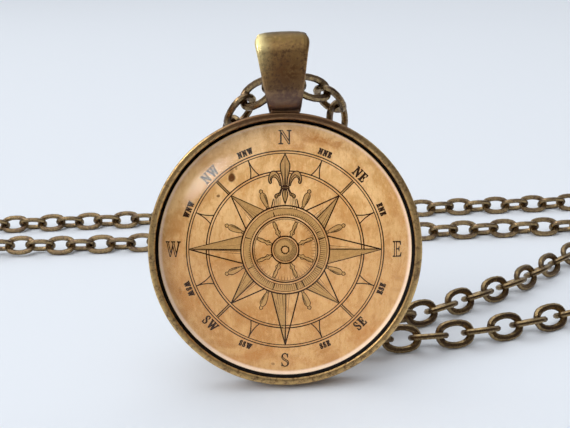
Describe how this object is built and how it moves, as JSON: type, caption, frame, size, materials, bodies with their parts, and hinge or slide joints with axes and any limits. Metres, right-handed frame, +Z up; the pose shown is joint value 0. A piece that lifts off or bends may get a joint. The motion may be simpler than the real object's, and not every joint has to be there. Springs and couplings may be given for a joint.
{
  "type": "compass pendant necklace",
  "caption": "Round pendant with a domed glass over a printed compass dial, in a shallow tray with a flared bail, on a cable chain necklace with a clasp.",
  "frame": {"origin": "centre of the part's box on the surface that it stands on", "axes": "+X to the right of the dial, +Y from the dial's front to its back, +Z up; the far and near strands of the chain lie along X"},
  "size_m": [0.1436, 0.0612, 0.0344],
  "materials": {
    "cast_metal": "antique bronze plating, mottled, satin",
    "chain_metal": "antique bronze plating, satin",
    "clasp_metal": "antique bronze plating, satin",
    "dial_paper": "matt print under glass",
    "dome_glass": "clear, polished"
  },
  "bodies": {
    "root": {"setting": "cast_metal", "dial": "dial_paper", "glass": "dome_glass", "chain_front": "chain_metal", "chain_back": "chain_metal", "clasp": "clasp_metal", "clasp_ring": "clasp_metal"}
  },
  "joints": []
}
